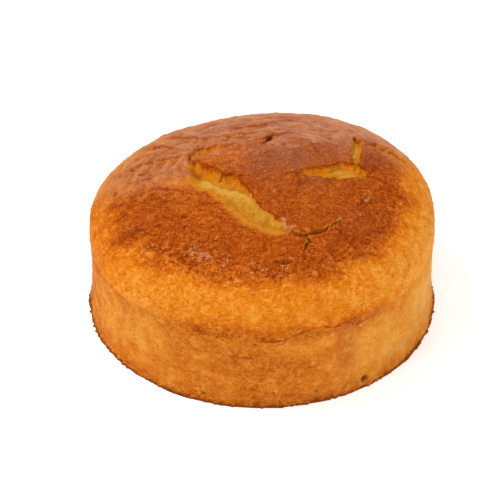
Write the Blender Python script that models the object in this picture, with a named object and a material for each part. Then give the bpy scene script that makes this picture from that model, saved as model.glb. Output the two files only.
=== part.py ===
"""A round vanilla sponge cake, baked in a 20 cm tin, as one solid.

The cake is a turned body: a flat base with a ragged foot, a straight wall as high as the tin,
a crease where the batter rose over the tin's rim, and a dome. The dome is torn open by cracks,
whose far sides are lifted into plates of crust. Lengths are in metres and +Z is up.
"""

import math
from dataclasses import dataclass

import bmesh
import bpy
import numpy as np
from mathutils import Vector, noise

MM = 0.001

# The tin
WALL_RADIUS = 99.0 * MM
WAIST_RADIUS = 97.4 * MM
WAIST_HEIGHT = 34 * MM
FOOT_REACH = 1.3 * MM
FOOT_HEIGHT = 2.4 * MM
FOOT_RAGGED = 0.8 * MM
FOOT_CRUMB = 3.5 * MM
CREASE_HEIGHT = 48.0 * MM
CREASE_DEPTH = 0.6 * MM
CREASE_SPREAD = 1.7 * MM
LIP_REACH = 0.5 * MM
LIP_HEIGHT = 52.5 * MM
LIP_SPREAD = 3.6 * MM
CREASE_WANDER = 1.6 * MM
CREASE_WINDOW = 9 * MM

# The dome
SHOULDER_RADIUS = 97.6 * MM
SHOULDER_HEIGHT = 60 * MM
DOME_HEIGHT = 83 * MM
DOME_ROUND = 2.28
DOME_CROWN = 1.79
DOME_TILT = 3.1 * MM
SWELL_HEIGHT = 0.9 * MM
SWELL_SIZE = 34 * MM

# How the cake strays from a true round: number of lobes, size, and the angle of the first lobe
BASE_LOBES = ((2, 0.6 * MM, 0.645), (3, 0.35 * MM, 0.96))
SHOULDER_LOBES = ((1, 1.17 * MM, -0.42), (2, 1.62 * MM, 0.785), (3, 1.34 * MM, 1.047))
DOME_LOBES = ((2, 0.62 * MM, 0.163), (3, 1.9 * MM, 0.428))

# The mesh
SEGMENTS = 72
RINGS_ON_DOME = 14
LONGEST_EDGE = 9.5 * MM
CRACK_EDGE = 2.2 * MM
CRACK_MARGIN = 2.6 * MM
REFINE_ROUNDS = 4

# The look
CRUST_COLOUR = (0.47, 0.155, 0.028, 1.0)
CRUST_ROUGHNESS = 0.62


@dataclass(frozen=True)
class Crack:
    """A tear in the crust. A row of its route is x, y, half of its width and its depth, in mm."""

    route: tuple
    lift: float = 0.0
    lift_reach: float = 9 * MM
    steep_edge: float = 2.0 * MM
    soft_edge: float = 3.0 * MM


# Each route keeps its lifted, steep side on its left.
CRACKS = (
    Crack(
        route=(
            (-41.5, 26, 0.8, 1.4),
            (-39.5, 20, 1.8, 3.2),
            (-36.8, 13.5, 4.0, 5.6),
            (-33.7, 6.4, 5.8, 4.6),
            (-28.5, 1.0, 5.8, 3.8),
            (-18.5, -6.8, 6.8, 3.6),
            (-12.6, -19.1, 5.8, 3.6),
            (-6.9, -29.8, 4.3, 3.2),
            (1.4, -38.4, 3.5, 3.0),
            (9.6, -42.9, 2.2, 2.6),
            (14, -45.8, 1.2, 2.2),
        ),
        lift=2.2 * MM,
        lift_reach=13 * MM,
        steep_edge=2.6 * MM,
        soft_edge=6.0 * MM,
    ),
    Crack(
        route=(
            (14, -45.8, 1.2, 2.2),
            (20.5, -49.2, 1.0, 2.2),
            (23.6, -48.9, 1.1, 2.6),
            (28.2, -45.2, 1.3, 3.0),
            (33.7, -43.4, 1.0, 2.4),
            (36.5, -40.0, 0.9, 2.2),
            (45.6, -32.5, 0.5, 0.8),
        ),
        lift=0.9 * MM,
        lift_reach=6 * MM,
        soft_edge=2.0 * MM,
    ),
    Crack(route=((23.2, -49.8, 1.1, 2.4), (24.4, -54, 1.1, 2.2), (22, -61, 0.5, 0.8))),
    Crack(
        route=(
            (10.5, 3.6, 0.6, 0.8),
            (21, 6.2, 1.3, 2.2),
            (27, 6.1, 2.2, 2.8),
            (33.5, 6.8, 3.6, 3.4),
            (40, 6.6, 5.4, 3.8),
            (45, 9.0, 6.0, 3.8),
            (50, 9.3, 5.0, 3.6),
            (54, 8.3, 3.4, 3.2),
            (57.5, 5.2, 1.3, 2.2),
            (66, 4.2, 0.8, 1.5),
            (71, 1.6, 0.5, 0.7),
        ),
        lift=1.5 * MM,
        lift_reach=9 * MM,
        soft_edge=2.4 * MM,
    ),
    Crack(
        route=(
            (52.6, 46.5, 1.1, 2.8),
            (53.6, 38, 2.0, 2.8),
            (52.3, 29.5, 2.0, 2.6),
            (52.8, 21, 1.7, 2.4),
            (53.5, 16, 1.2, 2.0),
        ),
        lift=0.6 * MM,
        lift_reach=6 * MM,
    ),
    Crack(
        route=(
            (51.5, 45.2, 1.2, 2.8),
            (55.5, 41.6, 1.2, 2.8),
            (63.6, 40.0, 1.1, 2.4),
            (69.8, 37.2, 1.1, 2.2),
            (84.5, 26, 0.5, 0.7),
        ),
        lift=1.3 * MM,
        lift_reach=6 * MM,
    ),
    Crack(
        route=(
            (-17, 40.5, 0.6, 0.8),
            (-25, 42, 1.5, 1.7),
            (-33, 39.5, 1.8, 2.0),
            (-41, 34, 1.4, 2.0),
            (-42, 26, 0.8, 1.5),
        ),
        lift=1.3 * MM,
        lift_reach=7 * MM,
    ),
    Crack(
        route=(
            (33, 44, 0.5, 0.6),
            (16.4, 48.2, 1.3, 1.5),
            (5.6, 46.5, 1.4, 1.7),
            (2.0, 40.5, 1.1, 1.5),
            (-4, 37, 0.5, 0.7),
        ),
        lift=1.1 * MM,
        lift_reach=7 * MM,
    ),
    Crack(
        route=((-3, 50, 0.5, 0.6), (-12, 51.6, 1.4, 1.6), (-25, 50, 0.7, 0.8)),
        lift=0.9 * MM,
        lift_reach=6 * MM,
    ),
)

# The roll of bare crumb in the longest crack. A row is x, y, its height and its reach, in mm.
ROLL = (
    (-36, 8, 0.3, 3.0),
    (-27.7, -4.0, 1.8, 3.8),
    (-20.1, -9.5, 2.2, 4.0),
    (-8.1, -18.8, 2.2, 3.5),
    (3.6, -35.8, 1.8, 2.6),
    (8.2, -40.4, 1.0, 2.2),
)


def clear_scene():
    """Takes out whatever the scene holds."""
    for obj in list(bpy.data.objects):
        bpy.data.objects.remove(obj, do_unlink=True)


def smooth_step(share):
    """A smooth rise from 0 to 1 as share goes from 0 to 1."""
    share = np.clip(share, 0.0, 1.0)
    return share * share * (3.0 - 2.0 * share)


def hump(height, middle, spread):
    """A smooth hump, 1 at its middle."""
    return math.exp(-(((height - middle) / spread) ** 2))


def wall_radius(height):
    """The wall's radius: drawn in to a waist, a foot below, and a crease and a lip above."""
    taper = max(0.0, 1.0 - height / WAIST_HEIGHT) ** 2
    foot = FOOT_REACH * (1.0 - float(smooth_step(height / FOOT_HEIGHT)))
    crease = CREASE_DEPTH * hump(height, CREASE_HEIGHT, CREASE_SPREAD)
    lip = LIP_REACH * hump(height, LIP_HEIGHT, LIP_SPREAD)
    swelling = (SHOULDER_RADIUS - WAIST_RADIUS) * float(smooth_step(height / SHOULDER_HEIGHT))
    return WAIST_RADIUS + (WALL_RADIUS - WAIST_RADIUS) * taper + foot - crease + lip + swelling


def dome_height(share):
    """The dome's height at a share, from 0 at the middle to 1 at the shoulder, of its radius."""
    crown = (1.0 - min(share, 1.0) ** DOME_ROUND) ** (1.0 / DOME_CROWN)
    return SHOULDER_HEIGHT + (DOME_HEIGHT - SHOULDER_HEIGHT) * crown


def cake_profile():
    """The (radius, height) points from the middle of the base, up the wall, to the crown."""
    base_radius = wall_radius(0.0)
    points = [(0.0, 0.0), (base_radius * 0.5, 0.0), (base_radius - 3 * MM, 0.0)]
    points.append((base_radius - 0.3 * MM, 0.0))
    wall = [0.9, 2.2, 4.2, 11, 19, 27, 35, 42, 45.5, 47, 48, 49, 50.5, 53.5, 57]
    points += [(wall_radius(height * MM), height * MM) for height in wall]
    for ring in range(RINGS_ON_DOME):
        turn = ring / RINGS_ON_DOME * math.pi / 2
        share = math.cos(turn)
        points.append((SHOULDER_RADIUS * share, dome_height(share)))
    points.append((0.0, DOME_HEIGHT))
    return points


def turned_body(profile):
    """The profile spun a full turn about Z, closed at both poles."""
    bm = bmesh.new()
    ring = [bm.verts.new((radius, 0.0, height)) for radius, height in profile]
    edges = [bm.edges.new(pair) for pair in zip(ring, ring[1:])]
    bmesh.ops.spin(
        bm,
        geom=ring + edges,
        cent=(0, 0, 0),
        axis=(0, 0, 1),
        angle=2 * math.pi,
        steps=SEGMENTS,
        use_merge=True,
    )
    bmesh.ops.remove_doubles(bm, verts=bm.verts, dist=0.01 * MM)
    bmesh.ops.recalc_face_normals(bm, faces=bm.faces)
    return bm


def nearest(route, x, y):
    """For each point: its signed distance from a route, and the route's two sizes there."""
    rows = np.array(route) * MM
    best = np.full(len(x), np.inf)
    signed = np.zeros(len(x))
    first = np.zeros(len(x))
    second = np.zeros(len(x))
    for start, end in zip(rows, rows[1:]):
        along = end[:2] - start[:2]
        length = float(np.hypot(*along))
        to_x, to_y = x - start[0], y - start[1]
        share = np.clip((to_x * along[0] + to_y * along[1]) / length**2, 0.0, 1.0)
        off_x, off_y = to_x - share * along[0], to_y - share * along[1]
        away = np.hypot(off_x, off_y)
        side = np.sign(along[0] * to_y - along[1] * to_x)
        here = start + share[:, None] * (end - start)
        nearer = away - here[:, 2] < best
        best = np.where(nearer, away - here[:, 2], best)
        signed = np.where(nearer, side * away, signed)
        first = np.where(nearer, here[:, 2], first)
        second = np.where(nearer, here[:, 3], second)
    return signed, first, second


def tear_relief(x, y):
    """How far the crust stands above (or lies below) the plain dome, from all the cracks."""
    cut = np.zeros(len(x))
    raised = np.zeros(len(x))
    for crack in CRACKS:
        signed, half, depth = nearest(crack.route, x, y)
        steep = signed > 0
        edge = np.where(steep, crack.steep_edge, crack.soft_edge)
        edge = np.minimum(edge, half + 1.0 * MM)
        outside = np.abs(signed) - half
        trough = smooth_step(0.5 - outside / edge)
        cut = np.maximum(cut, depth * trough)
        lip = np.exp(-((np.maximum(outside, 0.0) / crack.lift_reach) ** 2))
        size = np.minimum(1.0, depth / (3 * MM))
        raised = np.maximum(raised, np.where(steep, crack.lift * size * lip, 0.0))
    from_roll, height, reach = nearest(ROLL, x, y)
    roll = height * np.exp(-((from_roll / reach) ** 2)) * smooth_step(cut / MM)
    return raised * (1.0 - smooth_step(cut / (3 * MM))) + roll - cut


def crack_clearance(x, y):
    """How far each point lies from the nearest crack's edge, inside it as well as outside."""
    least = np.full(len(x), np.inf)
    for crack in CRACKS:
        signed, half, _ = nearest(crack.route, x, y)
        least = np.minimum(least, np.abs(np.abs(signed) - half * 0.5) - half * 0.5)
    return least


def refine(bm):
    """Splits the edges that are too long, and those beside a crack down to a finer length."""
    for _ in range(REFINE_ROUNDS):
        middles = [(edge.verts[0].co + edge.verts[1].co) / 2 for edge in bm.edges]
        x = np.array([point.x for point in middles])
        y = np.array([point.y for point in middles])
        close = crack_clearance(x, y) < CRACK_MARGIN
        long_edges = []
        for edge, middle, beside in zip(bm.edges, middles, close):
            fine = beside and middle.z > SHOULDER_HEIGHT
            most = CRACK_EDGE if fine else LONGEST_EDGE
            if middle.z > MM and edge.calc_length() > most:
                long_edges.append(edge)
        bmesh.ops.subdivide_edges(bm, edges=long_edges, cuts=1, use_grid_fill=True)
    bmesh.ops.triangulate(bm, faces=[face for face in bm.faces if len(face.verts) > 4])


def stray(lobes, angle):
    """How far the lobes move the surface at an angle."""
    return sum(size * math.cos(count * (angle - turn)) for count, size, turn in lobes)


def out_of_round(angle, height):
    """How far the cake strays outwards from a true circle at an angle and a height."""
    up = min(1.0, height / SHOULDER_HEIGHT)
    return stray(BASE_LOBES, angle) * (1.0 - up) + stray(SHOULDER_LOBES, angle) * up


def ragged_foot(point):
    """How far the crumbs of the foot stand in or out at a point on it."""
    low = 1.0 - float(smooth_step(point.z / FOOT_HEIGHT))
    return low * FOOT_RAGGED * noise.noise(point / FOOT_CRUMB)


def crease_wander(point):
    """How far the crease rises or falls beside a point on the wall."""
    near = hump(point.z, CREASE_HEIGHT, CREASE_WINDOW)
    return near * CREASE_WANDER * noise.noise(Vector((point.x, point.y, 0.0)) / SWELL_SIZE)


def shape_crust(bm):
    """Moves the turned body's points to the real crust: out of round, tilted, swollen and torn."""
    bm.normal_update()
    bm.verts.ensure_lookup_table()
    x = np.array([vert.co.x for vert in bm.verts])
    y = np.array([vert.co.y for vert in bm.verts])
    relief = tear_relief(x, y)
    for vert, tear in zip(bm.verts, relief):
        radius = math.hypot(vert.co.x, vert.co.y)
        if radius < 0.01 * MM and vert.co.z < MM:
            continue
        share = radius / SHOULDER_RADIUS
        angle = math.atan2(vert.co.y, vert.co.x)
        on_top = float(smooth_step((vert.co.z - SHOULDER_HEIGHT) / (6 * MM)))
        swell = SWELL_HEIGHT * noise.noise(vert.co / SWELL_SIZE)
        outward = Vector((math.cos(angle), math.sin(angle), 0.0))
        outwards = out_of_round(angle, vert.co.z) * share + ragged_foot(vert.co) * share**8
        place = vert.co + outward * outwards
        if vert.co.z > MM:
            lean = DOME_TILT * math.cos(angle) * share + stray(DOME_LOBES, angle) * share**2
            place += vert.normal * (on_top * (tear + swell))
            place.z += on_top * lean * (1.0 - share**6) + crease_wander(vert.co)
        vert.co = place


def centre_on_base(bm):
    """Slides the cake so that its box is centred on the origin in plan."""
    low_x, high_x = min(v.co.x for v in bm.verts), max(v.co.x for v in bm.verts)
    low_y, high_y = min(v.co.y for v in bm.verts), max(v.co.y for v in bm.verts)
    shift = Vector((-(low_x + high_x) / 2, -(low_y + high_y) / 2, 0.0))
    bmesh.ops.translate(bm, vec=shift, verts=bm.verts)


def crust_material():
    """Golden brown crust."""
    material = bpy.data.materials.new("crust")
    material.use_nodes = True
    shader = material.node_tree.nodes["Principled BSDF"]
    shader.inputs["Base Color"].default_value = CRUST_COLOUR
    shader.inputs["Roughness"].default_value = CRUST_ROUGHNESS
    shader.inputs["Metallic"].default_value = 0.0
    return material


def make_cake():
    """The cake as one closed mesh object."""
    bm = turned_body(cake_profile())
    refine(bm)
    shape_crust(bm)
    centre_on_base(bm)
    mesh = bpy.data.meshes.new("cake")
    bm.to_mesh(mesh)
    bm.free()
    mesh.shade_smooth()
    mesh.set_sharp_from_angle(angle=math.radians(50))
    mesh.materials.append(crust_material())
    cake = bpy.data.objects.new("cake", mesh)
    bpy.context.scene.collection.objects.link(cake)
    return cake


def main():
    """Builds the cake in an empty scene."""
    clear_scene()
    make_cake()


main()
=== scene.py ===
"""A round vanilla sponge cake: browned, torn crust over pale crumb, in a soft white studio.

The cake is turned on the same form as the part: a ragged foot, the tin's straight wall, a crease
where the batter rose over the tin's rim, and a dome. Its crust is then torn, folded, pitted and
roughened, and every point keeps how brown, how torn and how smooth it is for the finish to read.
Lengths are in metres and +Z is up.
"""

import logging
import math
from dataclasses import dataclass, field, fields
from enum import Enum

import bmesh
import bpy
import numpy as np
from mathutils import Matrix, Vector, noise

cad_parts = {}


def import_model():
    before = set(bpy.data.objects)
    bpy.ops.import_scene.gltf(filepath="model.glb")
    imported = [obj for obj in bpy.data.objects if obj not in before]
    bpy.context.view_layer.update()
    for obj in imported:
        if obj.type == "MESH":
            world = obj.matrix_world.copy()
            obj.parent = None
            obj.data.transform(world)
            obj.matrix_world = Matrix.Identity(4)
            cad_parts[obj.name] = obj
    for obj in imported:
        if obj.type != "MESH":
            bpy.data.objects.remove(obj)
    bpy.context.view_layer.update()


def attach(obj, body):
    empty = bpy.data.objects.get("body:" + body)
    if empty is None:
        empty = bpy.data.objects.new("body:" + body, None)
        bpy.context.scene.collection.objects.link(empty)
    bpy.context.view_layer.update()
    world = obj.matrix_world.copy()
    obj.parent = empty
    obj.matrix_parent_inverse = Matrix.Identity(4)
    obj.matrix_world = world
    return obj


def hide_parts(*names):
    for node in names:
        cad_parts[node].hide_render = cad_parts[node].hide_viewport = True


MM = 0.001
LOG = logging.getLogger("cake")


def smooth_step(share: np.ndarray | float) -> np.ndarray:
    """A smooth rise from 0 to 1 as share goes from 0 to 1, level beyond both ends."""
    share = np.clip(share, 0.0, 1.0)
    return share * share * (3.0 - 2.0 * share)


def hump(place: np.ndarray | float, middle: float, spread: float) -> np.ndarray:
    """A smooth hump, 1 at its middle."""
    return np.exp(-(((place - middle) / spread) ** 2))


def paint(red: int, green: int, blue: int) -> tuple[float, float, float, float]:
    """Turns a colour as a screen shows it into the light that it stands for.

    Args:
        red: The colour's red, from 0 to 255.
        green: Its green.
        blue: Its blue.

    Returns:
        Its red, green and blue as shares of light, and 1 for being solid.
    """
    shares = (level / 255 for level in (red, green, blue))
    linear = [s / 12.92 if s <= 0.04045 else ((s + 0.055) / 1.055) ** 2.4 for s in shares]
    return (*linear, 1.0)


def rough_field(points: np.ndarray, size: float, seed: float = 0.0) -> np.ndarray:
    """Smooth noise from -1 to 1 at each point.

    Args:
        points: One row of x, y, z for each point.
        size: The width of one bump of the noise.
        seed: Moves the noise along, so that two fields differ.

    Returns:
        One value for each point.
    """
    scaled = points / size + seed
    return np.array([noise.noise(Vector(row)) for row in scaled])


@dataclass(frozen=True)
class Lobes:
    """How the cake strays from a true round.

    Attributes:
        rows: For each set of lobes, how many there are, how far they reach and the first's angle.
    """

    rows: tuple[tuple[int, float, float], ...]

    def stray(self, angle: np.ndarray) -> np.ndarray:
        """How far the lobes move the surface outwards at each angle."""
        return sum(size * np.cos(count * (angle - turn)) for count, size, turn in self.rows)


@dataclass(frozen=True)
class Tin:
    """The straight side that the tin gave the cake, from its foot to just above its rim."""

    wall_radius: float = 99.0 * MM
    waist_radius: float = 97.4 * MM
    waist_height: float = 34 * MM
    foot_reach: float = 1.3 * MM
    foot_height: float = 2.4 * MM
    crease_height: float = 48.0 * MM
    crease_depth: float = 0.6 * MM
    crease_spread: float = 1.7 * MM
    lip_reach: float = 0.5 * MM
    lip_height: float = 52.5 * MM
    lip_spread: float = 3.6 * MM
    shoulder_radius: float = 97.6 * MM
    shoulder_height: float = 60 * MM
    lobes: Lobes = Lobes(((2, 0.6 * MM, 0.645), (3, 0.35 * MM, 0.96)))

    def radius(self, height: float) -> float:
        """The wall's radius: drawn in to a waist, with a foot below and a crease and a lip above.

        Args:
            height: How far above the base.

        Returns:
            The radius there.
        """
        taper = max(0.0, 1.0 - height / self.waist_height) ** 2
        foot = self.foot_reach * (1.0 - smooth_step(height / self.foot_height))
        crease = self.crease_depth * hump(height, self.crease_height, self.crease_spread)
        lip = self.lip_reach * hump(height, self.lip_height, self.lip_spread)
        swelling = self.shoulder_radius - self.waist_radius
        swelling *= smooth_step(height / self.shoulder_height)
        drawn_in = (self.wall_radius - self.waist_radius) * taper
        return float(self.waist_radius + drawn_in + foot - crease + lip + swelling)

    def around(self, places: np.ndarray) -> np.ndarray:
        """How far round the unrolled wall each place lies."""
        return np.arctan2(places[:, 1], places[:, 0]) * self.wall_radius


@dataclass(frozen=True)
class Dome:
    """The risen top above the shoulder."""

    height: float = 83 * MM
    round: float = 2.28
    crown: float = 1.79
    tilt: float = 3.1 * MM
    swell_height: float = 0.9 * MM
    swell_size: float = 34 * MM
    outline_steps: int = 4000
    shoulder_lobes: Lobes = Lobes(
        ((1, 1.17 * MM, -0.42), (2, 1.62 * MM, 0.785), (3, 1.34 * MM, 1.047))
    )
    top_lobes: Lobes = Lobes(((2, 0.62 * MM, 0.163), (3, 1.9 * MM, 0.428)))

    def profile(self, shoulder_radius: float, shoulder_height: float, step: float) -> list:
        """The dome's outline, from the shoulder to just before the crown.

        Args:
            shoulder_radius: Where the outline starts, out from the axis.
            shoulder_height: The same, up from the base.
            step: About how far apart the points lie.

        Returns:
            The (radius, height) points, evenly spaced along the outline.
        """
        turn = np.linspace(0.0, math.pi / 2, self.outline_steps)
        share = np.cos(turn)
        rise = (self.height - shoulder_height) * (1.0 - share**self.round) ** (1.0 / self.crown)
        radius, height = shoulder_radius * share, shoulder_height + rise
        run = np.concatenate([[0.0], np.cumsum(np.hypot(np.diff(radius), np.diff(height)))])
        stops = np.linspace(0.0, run[-1], round(run[-1] / step))
        radii, heights = np.interp(stops, run, radius), np.interp(stops, run, height)
        return [(float(r), float(h)) for r, h in zip(radii[:-1], heights[:-1])]

    def lean(self, angle: np.ndarray, share: np.ndarray) -> np.ndarray:
        """How far the top stands above or below an upright dome.

        Args:
            angle: The points' angles about the axis.
            share: Their distances from the axis, in shares of the shoulder's radius.

        Returns:
            One height for each point.
        """
        tilt = self.tilt * np.cos(angle) * share
        return (tilt + self.top_lobes.stray(angle) * share**2) * (1.0 - share**6)


@dataclass
class Beside:
    """Where points lie beside a line drawn on the crust.

    Attributes:
        signed: How far each point is from the line; left of the line is positive.
        row: The line's numbers at its nearest place, one row for each point.
    """

    signed: np.ndarray
    row: np.ndarray

    @property
    def away(self) -> np.ndarray:
        """How far each point is from the line, to either side."""
        return np.abs(self.signed)


def beside(route: tuple, x: np.ndarray, y: np.ndarray, widened: bool = False) -> Beside:
    """Measures points against a drawn line.

    Args:
        route: Rows that start with x and y in mm; whatever follows is blended along the line.
        x: The points' places across the crust.
        y: The same.
        widened: Whether the third number of a row is the line's half width there.

    Returns:
        Each point's signed distance (left of the line is positive) and the row of numbers at the
        nearest point of the line.
    """
    rows = np.array(route, dtype=float) * MM
    best = np.full(len(x), np.inf)
    signed = np.zeros(len(x))
    row = np.zeros((len(x), rows.shape[1]))
    for start, end in zip(rows, rows[1:]):
        step = end[:2] - start[:2]
        length = float(np.hypot(*step))
        to_x, to_y = x - start[0], y - start[1]
        share = np.clip((to_x * step[0] + to_y * step[1]) / length**2, 0.0, 1.0)
        away = np.hypot(to_x - share * step[0], to_y - share * step[1])
        side = np.sign(step[0] * to_y - step[1] * to_x)
        here = start + share[:, None] * (end - start)
        reach = away - here[:, 2] if widened else away
        nearer = reach < best
        best = np.where(nearer, reach, best)
        signed = np.where(nearer, side * away, signed)
        row = np.where(nearer[:, None], here, row)
    return Beside(signed, row)


@dataclass
class Marks:
    """What the finish has to know at each point, from 0 for none of it to about 1 for all of it.

    Attributes:
        count: How many points there are.
        bake: How brown the crust is; below 0 where it is palest.
        smooth: How little pebbled the crust is.
        sheet: Whether it is the thin, rippled sheet of the back and the left.
        pebble: How coarse its grain is.
        plum: How plum-coloured it is: a darker brown whose purple cast on the dome is painted sheen.
        wall: Whether it is the wall and not the dome.
        torn: How bare the crumb is; along a tear's edge and below a wall wrinkle it also carries a
            painted highlight.
        face: Whether it is the steep side of a tear.
        gap: How much painted shade lies in the bottom of a narrow tear.
        seam: Painted shade at the foot of a fold, in a pit and under a tear's lip, and a tear's own
            dark rim.
        crag: How far it stands out of its grain, 0.5 for not at all.
        foot: Whether it is the dark foot.
        hole: How much painted shade it gets for how deep it lies in a pit.
        fleck: Whether it is a pale, loose flake.
    """

    count: int
    bake: np.ndarray = field(init=False)
    smooth: np.ndarray = field(init=False)
    sheet: np.ndarray = field(init=False)
    pebble: np.ndarray = field(init=False)
    plum: np.ndarray = field(init=False)
    wall: np.ndarray = field(init=False)
    torn: np.ndarray = field(init=False)
    face: np.ndarray = field(init=False)
    gap: np.ndarray = field(init=False)
    seam: np.ndarray = field(init=False)
    crag: np.ndarray = field(init=False)
    foot: np.ndarray = field(init=False)
    hole: np.ndarray = field(init=False)
    fleck: np.ndarray = field(init=False)

    def __post_init__(self) -> None:
        """Starts every mark at nothing."""
        for name in self.names():
            setattr(self, name, np.zeros(self.count))

    @classmethod
    def names(cls) -> tuple[str, ...]:
        """The names of the marks."""
        return tuple(part.name for part in fields(cls) if not part.init)


@dataclass(frozen=True)
class Tear:
    """A tear in the crust, seen from above.

    Attributes:
        route: Rows of x, y, half of the width and the depth, in mm. The lifted, steep side lies on
            the left.
        lift: How far the crust on the steep side is lifted.
        lift_reach: How far out the lift goes.
        steep_edge: How wide the slope of the steep side is.
        soft_edge: The same for the other side.
        halo: How far out from the tear the other side is bared.
        bared: How bare the tear is, from 0 to 1.
    """

    route: tuple
    lift: float = 0.0
    lift_reach: float = 9 * MM
    steep_edge: float = 2.0 * MM
    soft_edge: float = 3.0 * MM
    halo: float = 1.5 * MM
    bared: float = 1.0

    def relief(self, x: np.ndarray, y: np.ndarray) -> tuple[np.ndarray, np.ndarray, Marks]:
        """What the tear does to the crust.

        Args:
            x: The points' places across the crust.
            y: The same.

        Returns:
            How deep each point is cut, how far it is lifted, and its marks.
        """
        line = beside(self.route, x, y, widened=True)
        half, depth = line.row[:, 2], line.row[:, 3]
        steep = line.signed > 0
        outside = line.away - half
        edge = np.minimum(np.where(steep, self.steep_edge, self.soft_edge), half + 1.0 * MM)
        trough = smooth_step(0.5 - outside / edge)
        wide = smooth_step((half - 0.6 * MM) / (1.2 * MM))
        cut = depth * trough
        size = np.minimum(1.0, depth / (3 * MM))
        lip = np.exp(-((np.maximum(outside, 0.0) / self.lift_reach) ** 2))
        lifted = np.where(steep, self.lift * size * lip, 0.0)
        inwards = smooth_step((self.halo - outside) / (self.halo + 0.5 * half))
        face = 0.42 * smooth_step(trough / 0.24) + 0.58 * smooth_step((trough - 0.4) / 0.6)
        marks = Marks(len(x))
        # Painted highlight: a pale band just outside the tear's edge, for the light that its edge
        # catches.
        lit = (0.22 - 0.12 * wide) * hump(outside, 0.9 * MM, 0.8 * MM)
        lit *= smooth_step(depth / (1.6 * MM))
        bared = np.where(steep, 0.62 * face, 0.74 * inwards)
        marks.torn = np.maximum(bared * wide * self.bared, lit)
        marks.face = np.where(steep, smooth_step(trough / 0.2), 0.0)
        # Painted shade under the lifted lip of the steep side, together with the crust's own dark red
        # rim there.
        rim = hump(trough, 0.12, 0.2) * smooth_step((0.5 * edge + 0.6 * MM - outside) / (0.8 * MM))
        marks.seam = np.where(steep, rim, 0.0) * wide
        # Painted shade: the bottom of a narrow tear is darkened for the shade that falls in it.
        marks.gap = (1.0 - wide) * smooth_step(cut / (1.3 * MM))
        return cut, lifted, marks

    def clearance(self, x: np.ndarray, y: np.ndarray) -> np.ndarray:
        """How far each point lies outside the tear."""
        line = beside(self.route, x, y, widened=True)
        return line.away - line.row[:, 2]


@dataclass(frozen=True)
class Roll:
    """A soft roll of bare crumb in a tear.

    Attributes:
        route: Rows of x, y, height and reach to either side, in mm.
    """

    route: tuple

    def relief(self, x: np.ndarray, y: np.ndarray) -> tuple[np.ndarray, np.ndarray]:
        """What the roll does to the crumb.

        Args:
            x: The points' places across the crust.
            y: The same.

        Returns:
            How far each point is lifted, less the furrow beside the roll, and how pale it is.
        """
        line = beside(self.route, x, y)
        height, reach = line.row[:, 2], line.row[:, 3]
        crest = np.exp(-((line.signed / reach) ** 2))
        furrow = 0.35 * np.exp(-(((line.signed / reach + 1.3) / 0.5) ** 2))
        return height * (crest - furrow), crest * np.minimum(1.0, height / (0.9 * MM))


@dataclass(frozen=True)
class Fold:
    """A ripple where one sheet of crust rode over the next.

    Attributes:
        route: Rows of x, y and height, in mm. The steep side lies on the right.
        far_reach: How far the ripple goes on its gentle side.
        near_reach: The same on its steep side.
        shaded: How strong the painted shade at the foot of the steep side is.
        bared: How bare the crumb is just beyond that; on the wall this pale band is a painted highlight
            on the lit lower lip.
    """

    route: tuple
    far_reach: float = 4.5 * MM
    near_reach: float = 1.0 * MM
    shaded: float = 1.0
    bared: float = 0.0

    def relief(self, x: np.ndarray, y: np.ndarray) -> tuple[np.ndarray, np.ndarray, np.ndarray]:
        """What the ripple does to the crust.

        Args:
            x: The points' places across the crust.
            y: The same.

        Returns:
            How far each point is lifted, how much painted shade it gets and how bare it is.
        """
        line = beside(self.route, x, y)
        height = line.row[:, 2]
        reach = np.where(line.signed > 0, self.far_reach, self.near_reach)
        lifted = height * np.exp(-((line.signed / reach) ** 2))
        strength = np.minimum(1.0, height / (0.9 * MM))
        shade = strength * hump(line.signed, -0.8 * self.near_reach, 0.8 * self.near_reach)
        bare = strength * hump(line.signed, -2.4 * self.near_reach, 1.1 * self.near_reach)
        return lifted, self.shaded * shade, self.bared * bare


@dataclass(frozen=True)
class Dent:
    """A small pit, blister or flake.

    Attributes:
        x: Where its middle is, in mm.
        y: The same.
        radius: Its radius across, in mm.
        depth: How far it goes in, in mm, or out where it is below 0.
        stretch: How many times as long as wide it is.
        turn: The angle of its length.
        darkness: How much painted shade a pit gets, for each mm of its depth.
    """

    x: float
    y: float
    radius: float
    depth: float
    stretch: float = 1.0
    turn: float = 0.0
    darkness: float = 0.6

    def reach(self, x: np.ndarray, y: np.ndarray) -> np.ndarray:
        """How strongly the dent works at each point.

        Args:
            x: The points' places across the crust.
            y: The same.

        Returns:
            One share for each point, 1 at the dent's middle.
        """
        to_x, to_y = x - self.x * MM, y - self.y * MM
        long = (to_x * math.cos(self.turn) + to_y * math.sin(self.turn)) / self.stretch
        short = -to_x * math.sin(self.turn) + to_y * math.cos(self.turn)
        return np.exp(-((np.hypot(long, short) / (self.radius * MM)) ** 4))


@dataclass(frozen=True)
class Patch:
    """A soft patch.

    Attributes:
        x: Where its middle is, in mm.
        y: The same.
        reach_x: How far it goes along its length, in mm.
        reach_y: How far it goes to either side of that, in mm.
        amount: What it adds at its middle.
        turn: The angle of its length.
    """

    x: float
    y: float
    reach_x: float
    reach_y: float
    amount: float
    turn: float = 0.0

    def at(self, x: np.ndarray, y: np.ndarray) -> np.ndarray:
        """What the patch adds at each point.

        Args:
            x: The points' places across the crust.
            y: The same.

        Returns:
            One number for each point.
        """
        to_x, to_y = x - self.x * MM, y - self.y * MM
        long = (to_x * math.cos(self.turn) + to_y * math.sin(self.turn)) / (self.reach_x * MM)
        short = (-to_x * math.sin(self.turn) + to_y * math.cos(self.turn)) / (self.reach_y * MM)
        return self.amount * np.exp(-(long**2 + short**2))


# How the dome's lines stray from their routes: how far and over what width, in mm, and a seed.
STRAYS = ((1.4, 6.0, 3.1), (1.3, 2.6, 5.7), (0.6, 1.3, 8.3))

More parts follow.
